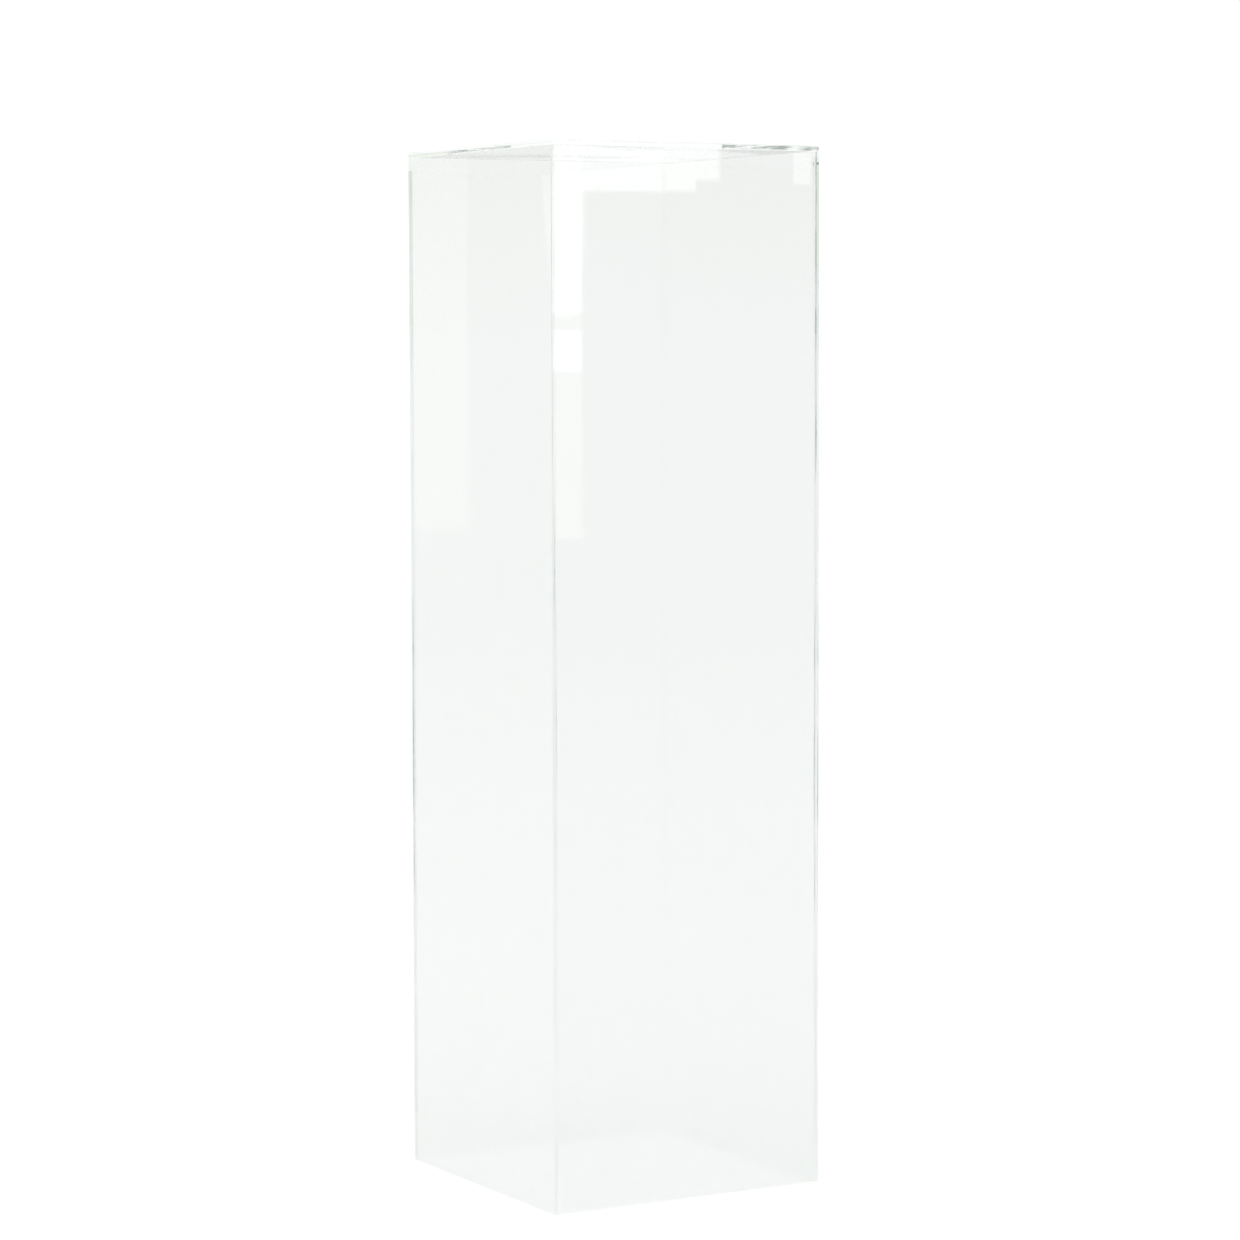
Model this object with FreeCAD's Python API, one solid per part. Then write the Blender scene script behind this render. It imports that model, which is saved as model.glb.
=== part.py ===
"""Clear acrylic display plinth: a tall square box with a flat cap and an open base.

Four wall sheets meet in mitred vertical corners and a cap sheet lies over their top ends, so the cap's
four polished edges show and no wall edge does. The sheets are held by clear cement alone: a thin bond in
each mitre and one under the cap along each wall. Every polished edge is broken by a small flat, the arris.

Units are millimetres, +Z is up, and the origin is the centre of the footprint on the floor. The front is
the wall that faces -Y and the left is the one that faces -X.
"""

import FreeCAD, Part
import math
import os

# Driving dimensions
SIDE = 350.0  # outer width and depth of the footprint
HEIGHT = 1200.0  # floor to the display face
SHEET = 6.0  # thickness of the acrylic sheet, for walls and cap
BOND = 0.15  # thickness of the cured cement between two sheets
ARRIS = 0.3  # leg of the small flat that breaks each polished edge

# Worked out from them
HALF = SIDE / 2
INSIDE = HALF - SHEET  # from the vertical axis to a wall's inner face
WALL_TOP = HEIGHT - SHEET - BOND  # the walls end one bond below the cap
SETBACK = BOND / math.sqrt(2)  # shift of a mitre, along its wall, that leaves half a bond beside the diagonal

UP = FreeCAD.Vector(0, 0, 1)
ORIGIN = FreeCAD.Vector(0, 0, 0)
QUARTER_TURN = 90.0  # degrees from one wall, or one corner, to the next
WALL_NAMES = ("front", "right", "back", "left")
CORNER_NAMES = ("front_left", "front_right", "back_right", "back_left")


def prism(outline, push):
    """The solid that a flat closed outline sweeps when it is pushed along a vector."""
    points = [FreeCAD.Vector(*point) for point in outline]
    return Part.Face(Part.makePolygon([*points, points[0]])).extrude(push)


def mitre_ends():
    """Where the front wall's left mitre starts, at the corner's arris, and where it ends, at the inner face."""
    at_arris = ((-SIDE + ARRIS + SETBACK) / 2, (-SIDE + ARRIS - SETBACK) / 2)
    at_inside = (-INSIDE + SETBACK, -INSIDE)
    return at_arris, at_inside


def front_wall():
    """A sheet with an arris along every edge but the one under the cap inside, cut to length by its mitres."""
    section = prism(
        [
            (-HALF, -HALF, ARRIS),
            (-HALF, -HALF + ARRIS, 0),
            (-HALF, -INSIDE - ARRIS, 0),
            (-HALF, -INSIDE, ARRIS),
            (-HALF, -INSIDE, WALL_TOP),
            (-HALF, -HALF + ARRIS, WALL_TOP),
            (-HALF, -HALF, WALL_TOP - ARRIS),
        ],
        FreeCAD.Vector(SIDE, 0, 0),
    )
    (arris_x, arris_y), (inside_x, inside_y) = mitre_ends()
    plan = prism(
        [
            (-HALF + ARRIS, -HALF, 0),
            (HALF - ARRIS, -HALF, 0),
            (-arris_x, arris_y, 0),
            (-inside_x, inside_y, 0),
            (inside_x, inside_y, 0),
            (arris_x, arris_y, 0),
        ],
        UP * WALL_TOP,
    )
    return section.common(plan).Solids[0]


def front_left_corner_bond():
    """Cement between the two mitres of a corner, from the arris at the foot to the arris under the cap."""
    (arris_x, arris_y), (inside_x, inside_y) = mitre_ends()
    plan = [
        (arris_x, arris_y, ARRIS),
        (inside_x, inside_y, ARRIS),
        (inside_y, inside_x, ARRIS),
        (arris_y, arris_x, ARRIS),
    ]
    return prism(plan, UP * (WALL_TOP - 2 * ARRIS))


def front_cap_bond():
    """Cement between the cap and one wall's top end. It stops at the two arrises, which leave a fine V groove."""
    outer = HALF - ARRIS
    plan = [
        (-outer, -outer, WALL_TOP),
        (outer, -outer, WALL_TOP),
        (INSIDE, -INSIDE, WALL_TOP),
        (-INSIDE, -INSIDE, WALL_TOP),
    ]
    return prism(plan, UP * BOND)


def cap():
    """The flat sheet over the walls, as wide as they are, with an arris along every edge.

    The underside is split along the walls' inner faces, so that the land under the cement is its own face.
    """
    underside = HEIGHT - SHEET
    sheet = Part.makeBox(SIDE, SIDE, SHEET, FreeCAD.Vector(-HALF, -HALF, underside))
    sheet = sheet.makeChamfer(ARRIS, sheet.Edges)
    between_walls = Part.makePlane(2 * INSIDE, 2 * INSIDE, FreeCAD.Vector(-INSIDE, -INSIDE, underside))
    split, _ = sheet.generalFuse([between_walls])
    return split.Solids[0]


def turned(shape, quarter_turns):
    """A copy of a shape, turned about the vertical axis from the front towards the right."""
    copy = shape.copy()
    copy.rotate(ORIGIN, UP, QUARTER_TURN * quarter_turns)
    return copy


def build():
    """Every sub-part by name. The walls and bonds are the front ones, repeated by quarter turns."""
    parts = {"top_panel": cap()}
    for turns, name in enumerate(WALL_NAMES):
        parts[f"{name}_panel"] = turned(front_wall(), turns)
        parts[f"top_bond_{name}"] = turned(front_cap_bond(), turns)
    for turns, name in enumerate(CORNER_NAMES):
        parts[f"corner_bond_{name}"] = turned(front_left_corner_bond(), turns)
    return parts


os.makedirs("parts", exist_ok=True)
for node, shape in build().items():
    shape.exportStep(f"parts/{node}.step")
    print(f"{node}: {shape.ShapeType}, {len(shape.Faces)} faces, {shape.Volume:.1f} mm3, valid {shape.isValid()}")
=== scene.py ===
import math

import bpy
from mathutils import Euler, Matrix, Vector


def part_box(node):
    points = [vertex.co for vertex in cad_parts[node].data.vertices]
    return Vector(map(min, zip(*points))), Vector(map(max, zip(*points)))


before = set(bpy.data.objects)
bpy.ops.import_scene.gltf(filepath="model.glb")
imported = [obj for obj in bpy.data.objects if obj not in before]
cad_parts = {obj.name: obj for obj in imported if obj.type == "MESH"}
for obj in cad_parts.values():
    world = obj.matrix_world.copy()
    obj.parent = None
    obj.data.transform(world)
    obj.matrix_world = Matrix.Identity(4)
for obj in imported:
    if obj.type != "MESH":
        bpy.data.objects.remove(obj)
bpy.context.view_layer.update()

WALLS = ("front_panel", "right_panel", "back_panel", "left_panel")
HALF = -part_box("front_panel")[0].y  # from the vertical axis to a wall's outer face
INSIDE = -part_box("front_panel")[1].y  # and to its inner face
FLAT, SLANTED = 0.99, 0.5  # least component of a normal that lies along an axis, or well off one
IOR_ACRYLIC = 1.49
WHITE = (1.0, 1.0, 1.0)
SHEET_COLOUR = (0.848, 0.865, 0.855)  # what two walls let through, one behind the other
SHEET_WAVE, INSIDE_WAVE, EDGE_WAVE = 0.00012, 0.00005, 0.000005  # m, how deep the faces' waviness is
ARRIS_ROUGH, ARRIS_FINE = (0.70, 0.74, 0.72), (0.90, 0.915, 0.91)  # the light that an arris lets through
SHADE_LINE = (0.0038, 0.0020)  # m, the line of painted shade in a corner bond: its two edges' depths below the corner's outer edge
SHADE_LINE_BLUR, SHADE_LINE_FADE = 0.0003, 0.03  # m, half the widths of its soft edges and of its soft ends
SHADE_LINE_ELSEWHERE = 0.2  # how strong the painted shade is above and below its strongest stretch

# Camera: the standpoint is given about the plinth's vertical axis, azimuth 0 looking along +Y
CAMERA_REACH, CAMERA_AZIMUTH, EYE_HEIGHT = 4.478, -29.72, 0.969  # m, degrees, m
CAMERA_HEADING, CAMERA_TILT, CAMERA_ROLL = 29.84, 4.05, 0.159  # degrees: right of +Y, down, clockwise
LENS, SENSOR = 111.2, 36.0  # mm

# Studio. HORIZON is a radiance, and the world's other levels and colours are parts of it. Azimuths are in
# degrees from +X towards +Y; 1 is a side, 0 is the plain backdrop. A rise is the sine of an elevation: a
# side's colour is whole from SIDE_RISE up, and OVERHEAD sets in between two of them.
HORIZON, OVERHEAD, OVERHEAD_RISE = 1.05, 1.3, (0.10, 0.4)
SIDE_COLOUR, SIDE_RISE = (0.82, 0.86, 0.775), 0.05
SIDES = (
    (-180, 0), (-160, 0), (-140, 1), (20, 1), (42, 0), (104, 0), (112, 1), (140, 1), (165, 0), (180, 0),
)
CARDS = (((121.2, 123.4), (2.7, 3.5)), ((-62.7, -61.6), (2.6, 3.5)))  # slats: azimuths, elevations
CARD_COLOUR = (0.36, 0.40, 0.38)
SLAT_SCALE = 320.0
COOL, CREAM = WHITE, (1.0, 0.97, 0.8)
FAR_OFF, CLOSE_BY = 300.0, 5.9  # m, from the plinth's axis to a window
WINDOWS = (  # name, distance, bearings and elevations (degrees) of its mirror image, W/m2, colour
    ("window_transom_left", FAR_OFF, (28.83, 30.55), (2.35, 2.78), 3.0, COOL),
    ("window_fanlight", FAR_OFF, (28.83, 30.55), (2.78, 3.0), 6.8, COOL),
    ("window_transom_right", FAR_OFF, (30.55, 30.98), (2.35, 3.0), 5.2, COOL),
    ("window_transom_end", FAR_OFF, (30.98, 31.32), (2.51, 3.0), 4.8, COOL),
    ("window_pane_high", FAR_OFF, (28.83, 29.29), (0.52, 2.35), 3.6, COOL),
    ("window_pane_low", FAR_OFF, (28.83, 29.29), (-0.31, 0.28), 3.6, COOL),
    ("window_small", FAR_OFF, (32.46, 32.72), (2.42, 2.88), 3.2, COOL),
    ("window_near", CLOSE_BY, (28.0, 29.29), (-2.85, 3.0), 2.0, CREAM),
)
FLOOR_HALF, FLOOR_DROP = 40.0, 0.0001  # m, half the floor's side, and how far it lies below the walls' feet
FLOOR_FADE = (14.0, 38.0)  # m from the axis, where the floor fades into the horizon
LIT_MIDDLE_FADE = (1.5, 9.0)  # m from the axis, where its lighter middle, a painted pool of light, ends
FLOOR_ALBEDO, LIT_MIDDLE_ALBEDO = 0.787, (0.805, 0.815)  # the middle's varies between two
BOUNCES = 64  # enough for light that runs a long way inside a sheet


# ---------------------------------------------------------------- node helpers
def new_material(name):
    """An empty node material and its output node."""
    material = bpy.data.materials.new(name)
    material.use_nodes = True
    nodes = material.node_tree.nodes
    nodes.clear()
    return material, nodes, material.node_tree.links, nodes.new("ShaderNodeOutputMaterial")


def object_space(nodes):
    """The coordinates of the row frame, in metres."""
    return nodes.new("ShaderNodeTexCoord").outputs["Object"]


def noise(nodes, links, where, scale, detail=3.0, stretch=None):
    """A noise value; stretch multiplies the coordinates along X, Y and Z first."""
    if stretch:
        mapping = nodes.new("ShaderNodeMapping")
        mapping.inputs["Scale"].default_value = stretch
        links.new(where, mapping.inputs["Vector"])
        where = mapping.outputs["Vector"]
    texture = nodes.new("ShaderNodeTexNoise")
    texture.inputs["Scale"].default_value = scale
    texture.inputs["Detail"].default_value = detail
    links.new(where, texture.inputs["Vector"])
    return texture.outputs["Fac"]


def remap(nodes, links, value, low, high, to_low, to_high):
    """value from low..high to to_low..to_high, held at both ends."""
    node = nodes.new("ShaderNodeMapRange")
    links.new(value, node.inputs["Value"])
    for name, number in zip(("From Min", "From Max", "To Min", "To Max"), (low, high, to_low, to_high)):
        node.inputs[name].default_value = number
    return node.outputs["Result"]


def blend(nodes, links, factor, one, other):
    """A colour between two; each is a colour or a socket."""
    node = nodes.new("ShaderNodeMix")
    node.data_type = "RGBA"
    links.new(factor, node.inputs[0])
    for socket, colour in ((node.inputs[6], one), (node.inputs[7], other)):
        if isinstance(colour, tuple):
            socket.default_value = (*colour, 1)
        else:
            links.new(colour, socket)
    return node.outputs[2]


def within(nodes, links, value, low, high):
    """1 where value lies from low to high, else 0."""
    node = nodes.new("ShaderNodeMath")
    node.operation = "COMPARE"
    links.new(value, node.inputs[0])
    node.inputs[1].default_value = (low + high) / 2
    node.inputs[2].default_value = (high - low) / 2
    return node.outputs["Value"]


def multiply(nodes, links, one, other):
    """The product of two values."""
    node = nodes.new("ShaderNodeMath")
    node.operation = "MULTIPLY"
    links.new(one, node.inputs[0])
    links.new(other, node.inputs[1])
    return node.outputs["Value"]


def height_of(nodes, links, where):
    """The Z of a point."""
    split = nodes.new("ShaderNodeSeparateXYZ")
    links.new(where, split.inputs["Vector"])
    return split.outputs["Z"]


def length_of(nodes, links, where):
    """The length of a vector."""
    node = nodes.new("ShaderNodeVectorMath")
    node.operation = "LENGTH"
    links.new(where, node.inputs[0])
    return node.outputs["Value"]


def bump(nodes, links, height, distance, shader):
    """Presses a height from 0 to 1 into a shader's normal, distance metres deep."""
    node = nodes.new("ShaderNodeBump")
    node.inputs["Distance"].default_value = distance
    links.new(height, node.inputs["Height"])
    links.new(node.outputs["Normal"], shader.inputs["Normal"])


# ---------------------------------------------------------------- materials
def clear_acrylic(nodes, links, out, colour, roughness):
    """A shader that refracts. Light that passes two such faces takes its colour; mirrored light doesn't."""
    shader = nodes.new("ShaderNodeBsdfPrincipled")
    shader.inputs["IOR"].default_value = IOR_ACRYLIC
    shader.inputs["Transmission Weight"].default_value = 1.0
    shader.inputs["Base Color"].default_value = (*colour, 1)
    shader.inputs["Roughness"].default_value = roughness
    links.new(shader.outputs["BSDF"], out.inputs["Surface"])
    return shader


def straight_through(nodes, links, out, colour=None):
    """A shader that lets light go straight on, coloured by a socket if one is given."""
    shader = nodes.new("ShaderNodeBsdfTransparent")
    if colour is not None:
        links.new(colour, shader.inputs["Color"])
    links.new(shader.outputs["BSDF"], out.inputs["Surface"])


def sheet_outside():
    """The outer faces, the ones that hands touch: clear, with smears that blur a little what is seen
    through them.
    """
    material, nodes, links, out = new_material("clear_acrylic_outside")
    where = object_space(nodes)
    clear = clear_acrylic(nodes, links, out, SHEET_COLOUR, 0.0)
    smears = remap(nodes, links, noise(nodes, links, where, 9.0, 4.0), 0.52, 0.75, 0.0, 0.03)
    links.new(smears, clear.inputs["Roughness"])
    bump(nodes, links, noise(nodes, links, where, 6.0, 0.0), SHEET_WAVE, clear)
    return material


def sheet_inside():
    """The faces inside the box, with the faint waviness of cast sheet."""
    material, nodes, links, out = new_material("clear_acrylic_inside")
    where = object_space(nodes)
    glass = nodes.new("ShaderNodeBsdfGlass")
    glass.inputs["IOR"].default_value = IOR_ACRYLIC
    glass.inputs["Color"].default_value = (0.9988, 0.9993, 0.9991, 1)
    glass.inputs["Roughness"].default_value = 0.0
    bump(nodes, links, noise(nodes, links, where, 4.0, 1.0), INSIDE_WAVE, glass)
    links.new(glass.outputs["BSDF"], out.inputs["Surface"])
    return material


def polished_edge():
    """Machine polish on the cap's sides and the walls' feet, in fine level lines."""
    material, nodes, links, out = new_material("polished_edge")
    clear = clear_acrylic(nodes, links, out, (0.94, 0.955, 0.95), 0.01)
    bump(nodes, links, noise(nodes, links, object_space(nodes), 1.0, 2.0, (4, 4, 600)), EDGE_WAVE, clear)
    return material


def scraped_arris():
    """The small flat along an edge, scraped by hand. It holds back some light: more where it was left
    rough. It holds back less near the floor, where it is painted lighter as painted light from the floor."""
    material, nodes, links, out = new_material("scraped_arris")
    where = object_space(nodes)
    rough = remap(nodes, links, noise(nodes, links, where, 7.0), 0.35, 0.65, 0.0, 1.0)
    # painted light: the arris is made clearer low down, standing for light from the floor
    painted_floor_light = remap(nodes, links, height_of(nodes, links, where), 0.1, 0.6, 0.25, 1.0)
    tint = blend(nodes, links, rough, ARRIS_FINE, ARRIS_ROUGH)
    straight_through(nodes, links, out, blend(nodes, links, painted_floor_light, WHITE, tint))
    return material


def cemented_face():
    """A face under cement. The cement has the sheet's own refractive index, so light goes straight on."""
    material, nodes, links, out = new_material("cemented_face")
    straight_through(nodes, links, out)
    return material


def clear_cement():
    """The bond under the cap: clear, with faint clouds."""
    material, nodes, links, out = new_material("clear_cement")
    clouds = remap(nodes, links, noise(nodes, links, object_space(nodes), 60.0), 0.4, 0.6, 0.0, 1.0)
    straight_through(nodes, links, out, blend(nodes, links, clouds, (0.95, 0.96, 0.955), WHITE))
    return material


def painted_shade_bond(name, depth, low, high):
    """A corner bond with a line of painted shade halfway through the sheet, a fine dark line along the
    corner.
    It holds back a part of the light, depth, between the heights low and high, and much less elsewhere."""
    material, nodes, links, out = new_material(name)
    where = object_space(nodes)
    height = height_of(nodes, links, where)
    foot = remap(nodes, links, height, low - SHADE_LINE_FADE, low + SHADE_LINE_FADE, SHADE_LINE_ELSEWHERE, 1.0)
    head = remap(nodes, links, height, high - SHADE_LINE_FADE, high + SHADE_LINE_FADE, 1.0, SHADE_LINE_ELSEWHERE)
    across = nodes.new("ShaderNodeVectorMath")
    across.operation = "MULTIPLY"
    across.inputs[1].default_value = (math.sqrt(0.5), math.sqrt(0.5), 0)
    links.new(where, across.inputs[0])
    reach = length_of(nodes, links, across.outputs["Vector"])  # as far as X and Y, on the bond's diagonal
    inner, outer = (HALF - edge for edge in SHADE_LINE)
    start = remap(nodes, links, reach, inner - SHADE_LINE_BLUR, inner + SHADE_LINE_BLUR, 0.0, 1.0)
    end = remap(nodes, links, reach, outer - SHADE_LINE_BLUR, outer + SHADE_LINE_BLUR, 1.0, 0.0)
    streaks = remap(nodes, links, noise(nodes, links, where, 1.0, 2.0, (60, 60, 16)), 0.4, 0.6, 0.4, 1.0)
    shade_line = multiply(nodes, links, multiply(nodes, links, start, end), streaks)
    # painted shade: where this mask is whole, the bond darkens what is seen through the corner
    shade_mask = multiply(nodes, links, multiply(nodes, links, foot, head), shade_line)
    dark = (1 - depth, 1 - 0.88 * depth, 1 - 0.92 * depth)  # the line is a little green
    straight_through(nodes, links, out, blend(nodes, links, shade_mask, WHITE, dark))
    return material


OUTSIDE, INNER, EDGE, ARRIS, CEMENTED = "outside", "inner", "edge", "arris", "cemented"
FINISH = {
    OUTSIDE: sheet_outside(),
    INNER: sheet_inside(),
    EDGE: polished_edge(),
    ARRIS: scraped_arris(),
    CEMENTED: cemented_face(),
}
CEMENT = {  # the painted shade's depth, and the lower and upper ends of its strongest stretch in metres
    "corner_bond_front_left": painted_shade_bond("cement_front_left", 0.45, 0.70, 0.80),
    "corner_bond_front_right": painted_shade_bond("cement_front_right", 0.38, 0.84, 1.20),
    "corner_bond_back_right": painted_shade_bond("cement_back_right", 0.42, 0.30, 0.64),
    "corner_bond_back_left": painted_shade_bond("cement_back_left", 0.30, 0.30, 0.64),
}
CAP_CEMENT = clear_cement()


def slanted(normal):
    """Whether a face leans between two axes, as an arris does."""
    return sorted(abs(number) for number in normal)[1] > SLANTED


def mitred(normal, centre):
    """Whether a face lies along a corner's diagonal."""
    return abs(normal.z) < SLANTED and normal.x * centre.x * normal.y * centre.y < 0


def wall_finish(normal, centre):
    """The finish of a wall's face. Its top end and the arris outside it are under cement."""
    if max(abs(normal.x), abs(normal.y)) > FLAT:
        return OUTSIDE if normal.x * centre.x + normal.y * centre.y > 0 else INNER
    if normal.z > SLANTED:
        return CEMENTED
    if normal.z < -FLAT:
        return EDGE
    return CEMENTED if mitred(normal, centre) else ARRIS


def cap_finish(normal, centre):
    """The finish of a face of the cap. Cement covers the lower arris and the land over the walls."""
    if slanted(normal):
        return ARRIS if normal.z > -SLANTED else CEMENTED
    if abs(normal.z) < FLAT:
        return EDGE
    over_wall = max(abs(centre.x), abs(centre.y)) > INSIDE
    return CEMENTED if normal.z < 0 and over_wall else OUTSIDE


def bond_finish(node, normal, centre):
    """The finish of a bond's face: a corner bond ends in the arris along its corner."""
    if node.startswith("top_bond"):
        return CAP_CEMENT
    return CEMENT[node] if mitred(normal, centre) else FINISH[ARRIS]


def dress(node):
    """Gives a CAD node its materials, each face by its finish."""
    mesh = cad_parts[node].data
    finishes = []
    for face in mesh.polygons:
        if node == "top_panel":
            finishes.append(FINISH[cap_finish(face.normal, face.center)])
        elif node in WALLS:
            finishes.append(FINISH[wall_finish(face.normal, face.center)])
        else:
            finishes.append(bond_finish(node, face.normal, face.center))
    used = sorted(set(finishes), key=lambda material: material.name)
    mesh.materials.clear()
    for material in used:
        mesh.materials.append(material)
    for face, material in zip(mesh.polygons, finishes):
        face.material_index = used.index(material)


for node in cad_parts:
    dress(node)


# ---------------------------------------------------------------- stage
def make_floor():
    """A matt floor whose albedo brings it to the level of the studio's horizon, which it fades into; its
    middle is a painted pool of light.
    """
    mesh = bpy.data.meshes.new("floor")
    corners = [(x * FLOOR_HALF, y * FLOOR_HALF, 0) for x, y in ((-1, -1), (1, -1), (1, 1), (-1, 1))]
    mesh.from_pydata(corners, [], [(0, 1, 2, 3)])
    floor = bpy.data.objects.new("floor", mesh)
    floor.location.z = -FLOOR_DROP
    bpy.context.collection.objects.link(floor)
    material, nodes, links, out = new_material("pale_floor")
    away = length_of(nodes, links, object_space(nodes))
    grain = noise(nodes, links, object_space(nodes), 60.0)
    # painted light: the middle of the floor gets a lighter albedo, a pool of light around the plinth
    near = blend(nodes, links, grain, *((albedo,) * 3 for albedo in LIT_MIDDLE_ALBEDO))
    far = remap(nodes, links, away, *LIT_MIDDLE_FADE, 0.0, 1.0)
    paint = nodes.new("ShaderNodeBsdfDiffuse")
    links.new(blend(nodes, links, far, near, (FLOOR_ALBEDO,) * 3), paint.inputs["Color"])
    glow = nodes.new("ShaderNodeEmission")
    glow.inputs["Strength"].default_value = HORIZON
    fade = nodes.new("ShaderNodeMixShader")
    links.new(remap(nodes, links, away, *FLOOR_FADE, 0.0, 1.0), fade.inputs["Fac"])
    links.new(paint.outputs["BSDF"], fade.inputs[1])
    links.new(glow.outputs["Emission"], fade.inputs[2])
    links.new(fade.outputs["Shader"], out.inputs["Surface"])
    mesh.materials.append(material)


def make_world():
    """A white studio: a little dimmer and greener to the sides above the horizon, brighter overhead, and
    with two small patches of dark slats, which show in the cap's edges."""
    world = bpy.data.worlds.new("studio")
    bpy.context.scene.world = world
    world.use_nodes = True
    nodes, links = world.node_tree.nodes, world.node_tree.links
    background = nodes["Background"]
    direction = nodes.new("ShaderNodeTexCoord").outputs["Generated"]
    split = nodes.new("ShaderNodeSeparateXYZ")
    links.new(direction, split.inputs["Vector"])
    azimuth = nodes.new("ShaderNodeMath")
    azimuth.operation = "ARCTAN2"
    links.new(split.outputs["Y"], azimuth.inputs[0])
    links.new(split.outputs["X"], azimuth.inputs[1])
    around = remap(nodes, links, azimuth.outputs["Value"], -math.pi, math.pi, 0.0, 1.0)
    sides = nodes.new("ShaderNodeValToRGB")
    ramp = sides.color_ramp
    ramp.interpolation = "EASE"
    while len(ramp.elements) < len(SIDES):
        ramp.elements.new(0.5)
    for element, (degrees, level) in zip(ramp.elements, SIDES):
        element.position = (degrees + 180) / 360
        element.color = (level, level, level, 1)
    links.new(around, sides.inputs["Fac"])
    rise = remap(nodes, links, split.outputs["Z"], 0.0, SIDE_RISE, 0.0, 1.0)
    side = multiply(nodes, links, sides.outputs["Color"], rise)
    horizon = blend(nodes, links, side, WHITE, SIDE_COLOUR)
    slats = remap(nodes, links, noise(nodes, links, direction, SLAT_SCALE, 2.0), 0.50, 0.56, 1.0, 0.0)
    card = blend(nodes, links, slats, WHITE, CARD_COLOUR)
    for azimuths, elevations in CARDS:
        turn = within(nodes, links, azimuth.outputs["Value"], *(math.radians(angle) for angle in azimuths))
        sines = (math.sin(math.radians(angle)) for angle in elevations)
        tilt = within(nodes, links, split.outputs["Z"], *sines)
        horizon = blend(nodes, links, multiply(nodes, links, turn, tilt), horizon, card)
    high = remap(nodes, links, split.outputs["Z"], *OVERHEAD_RISE, 0.0, 1.0)
    links.new(blend(nodes, links, high, horizon, (OVERHEAD,) * 3), background.inputs["Color"])
    background.inputs["Strength"].default_value = HORIZON


def make_window(name, distance, bearings, elevations, output, colour):
    """A window that the front panel mirrors. The panel shows it between two bearings and two elevations."""
    reach = CAMERA_REACH * math.cos(math.radians(CAMERA_AZIMUTH)) - HALF  # from the lens to the front panel
    depth = reach + distance - HALF
    mirror_x = CAMERA_REACH * math.sin(math.radians(CAMERA_AZIMUTH))
    left, right = (mirror_x + depth * math.tan(math.radians(angle)) for angle in bearings)
    slant = math.hypot(depth, (left + right) / 2 - mirror_x)
    low, high = (EYE_HEIGHT + slant * math.tan(math.radians(angle)) for angle in elevations)
    area = bpy.data.lights.new(name, "AREA")
    area.shape = "RECTANGLE"
    area.size, area.size_y = right - left, high - low
    area.energy = output * area.size * area.size_y
    area.color = colour
    window = bpy.data.objects.new(name, area)
    window.location = ((left + right) / 2, -distance, (low + high) / 2)
    window.rotation_euler = (math.radians(90), 0, 0)
    bpy.context.collection.objects.link(window)


def make_camera():
    """The camera at its standpoint, level across but for its roll."""
    azimuth = math.radians(CAMERA_AZIMUTH)
    camera = bpy.data.cameras.new("camera")
    camera.lens, camera.sensor_width = LENS, SENSOR
    stand = bpy.data.objects.new("camera", camera)
    stand.location = (CAMERA_REACH * math.sin(azimuth), -CAMERA_REACH * math.cos(azimuth), EYE_HEIGHT)
    look = Euler((math.radians(90 - CAMERA_TILT), 0, -math.radians(CAMERA_HEADING))).to_matrix()
    roll = Euler((0, 0, -math.radians(CAMERA_ROLL))).to_matrix()
    stand.rotation_euler = (look @ roll).to_euler()
    bpy.context.collection.objects.link(stand)
    bpy.context.scene.camera = stand


make_floor()
make_world()
for window in WINDOWS:
    make_window(*window)
make_camera()

scene = bpy.context.scene
scene.view_settings.view_transform = "Standard"
scene.cycles.max_bounces = BOUNCES
scene.cycles.glossy_bounces = BOUNCES
scene.cycles.transmission_bounces = BOUNCES
scene.cycles.transparent_max_bounces = BOUNCES
scene.cycles.blur_glossy = 0
scene.cycles.denoising_input_passes = "RGB"
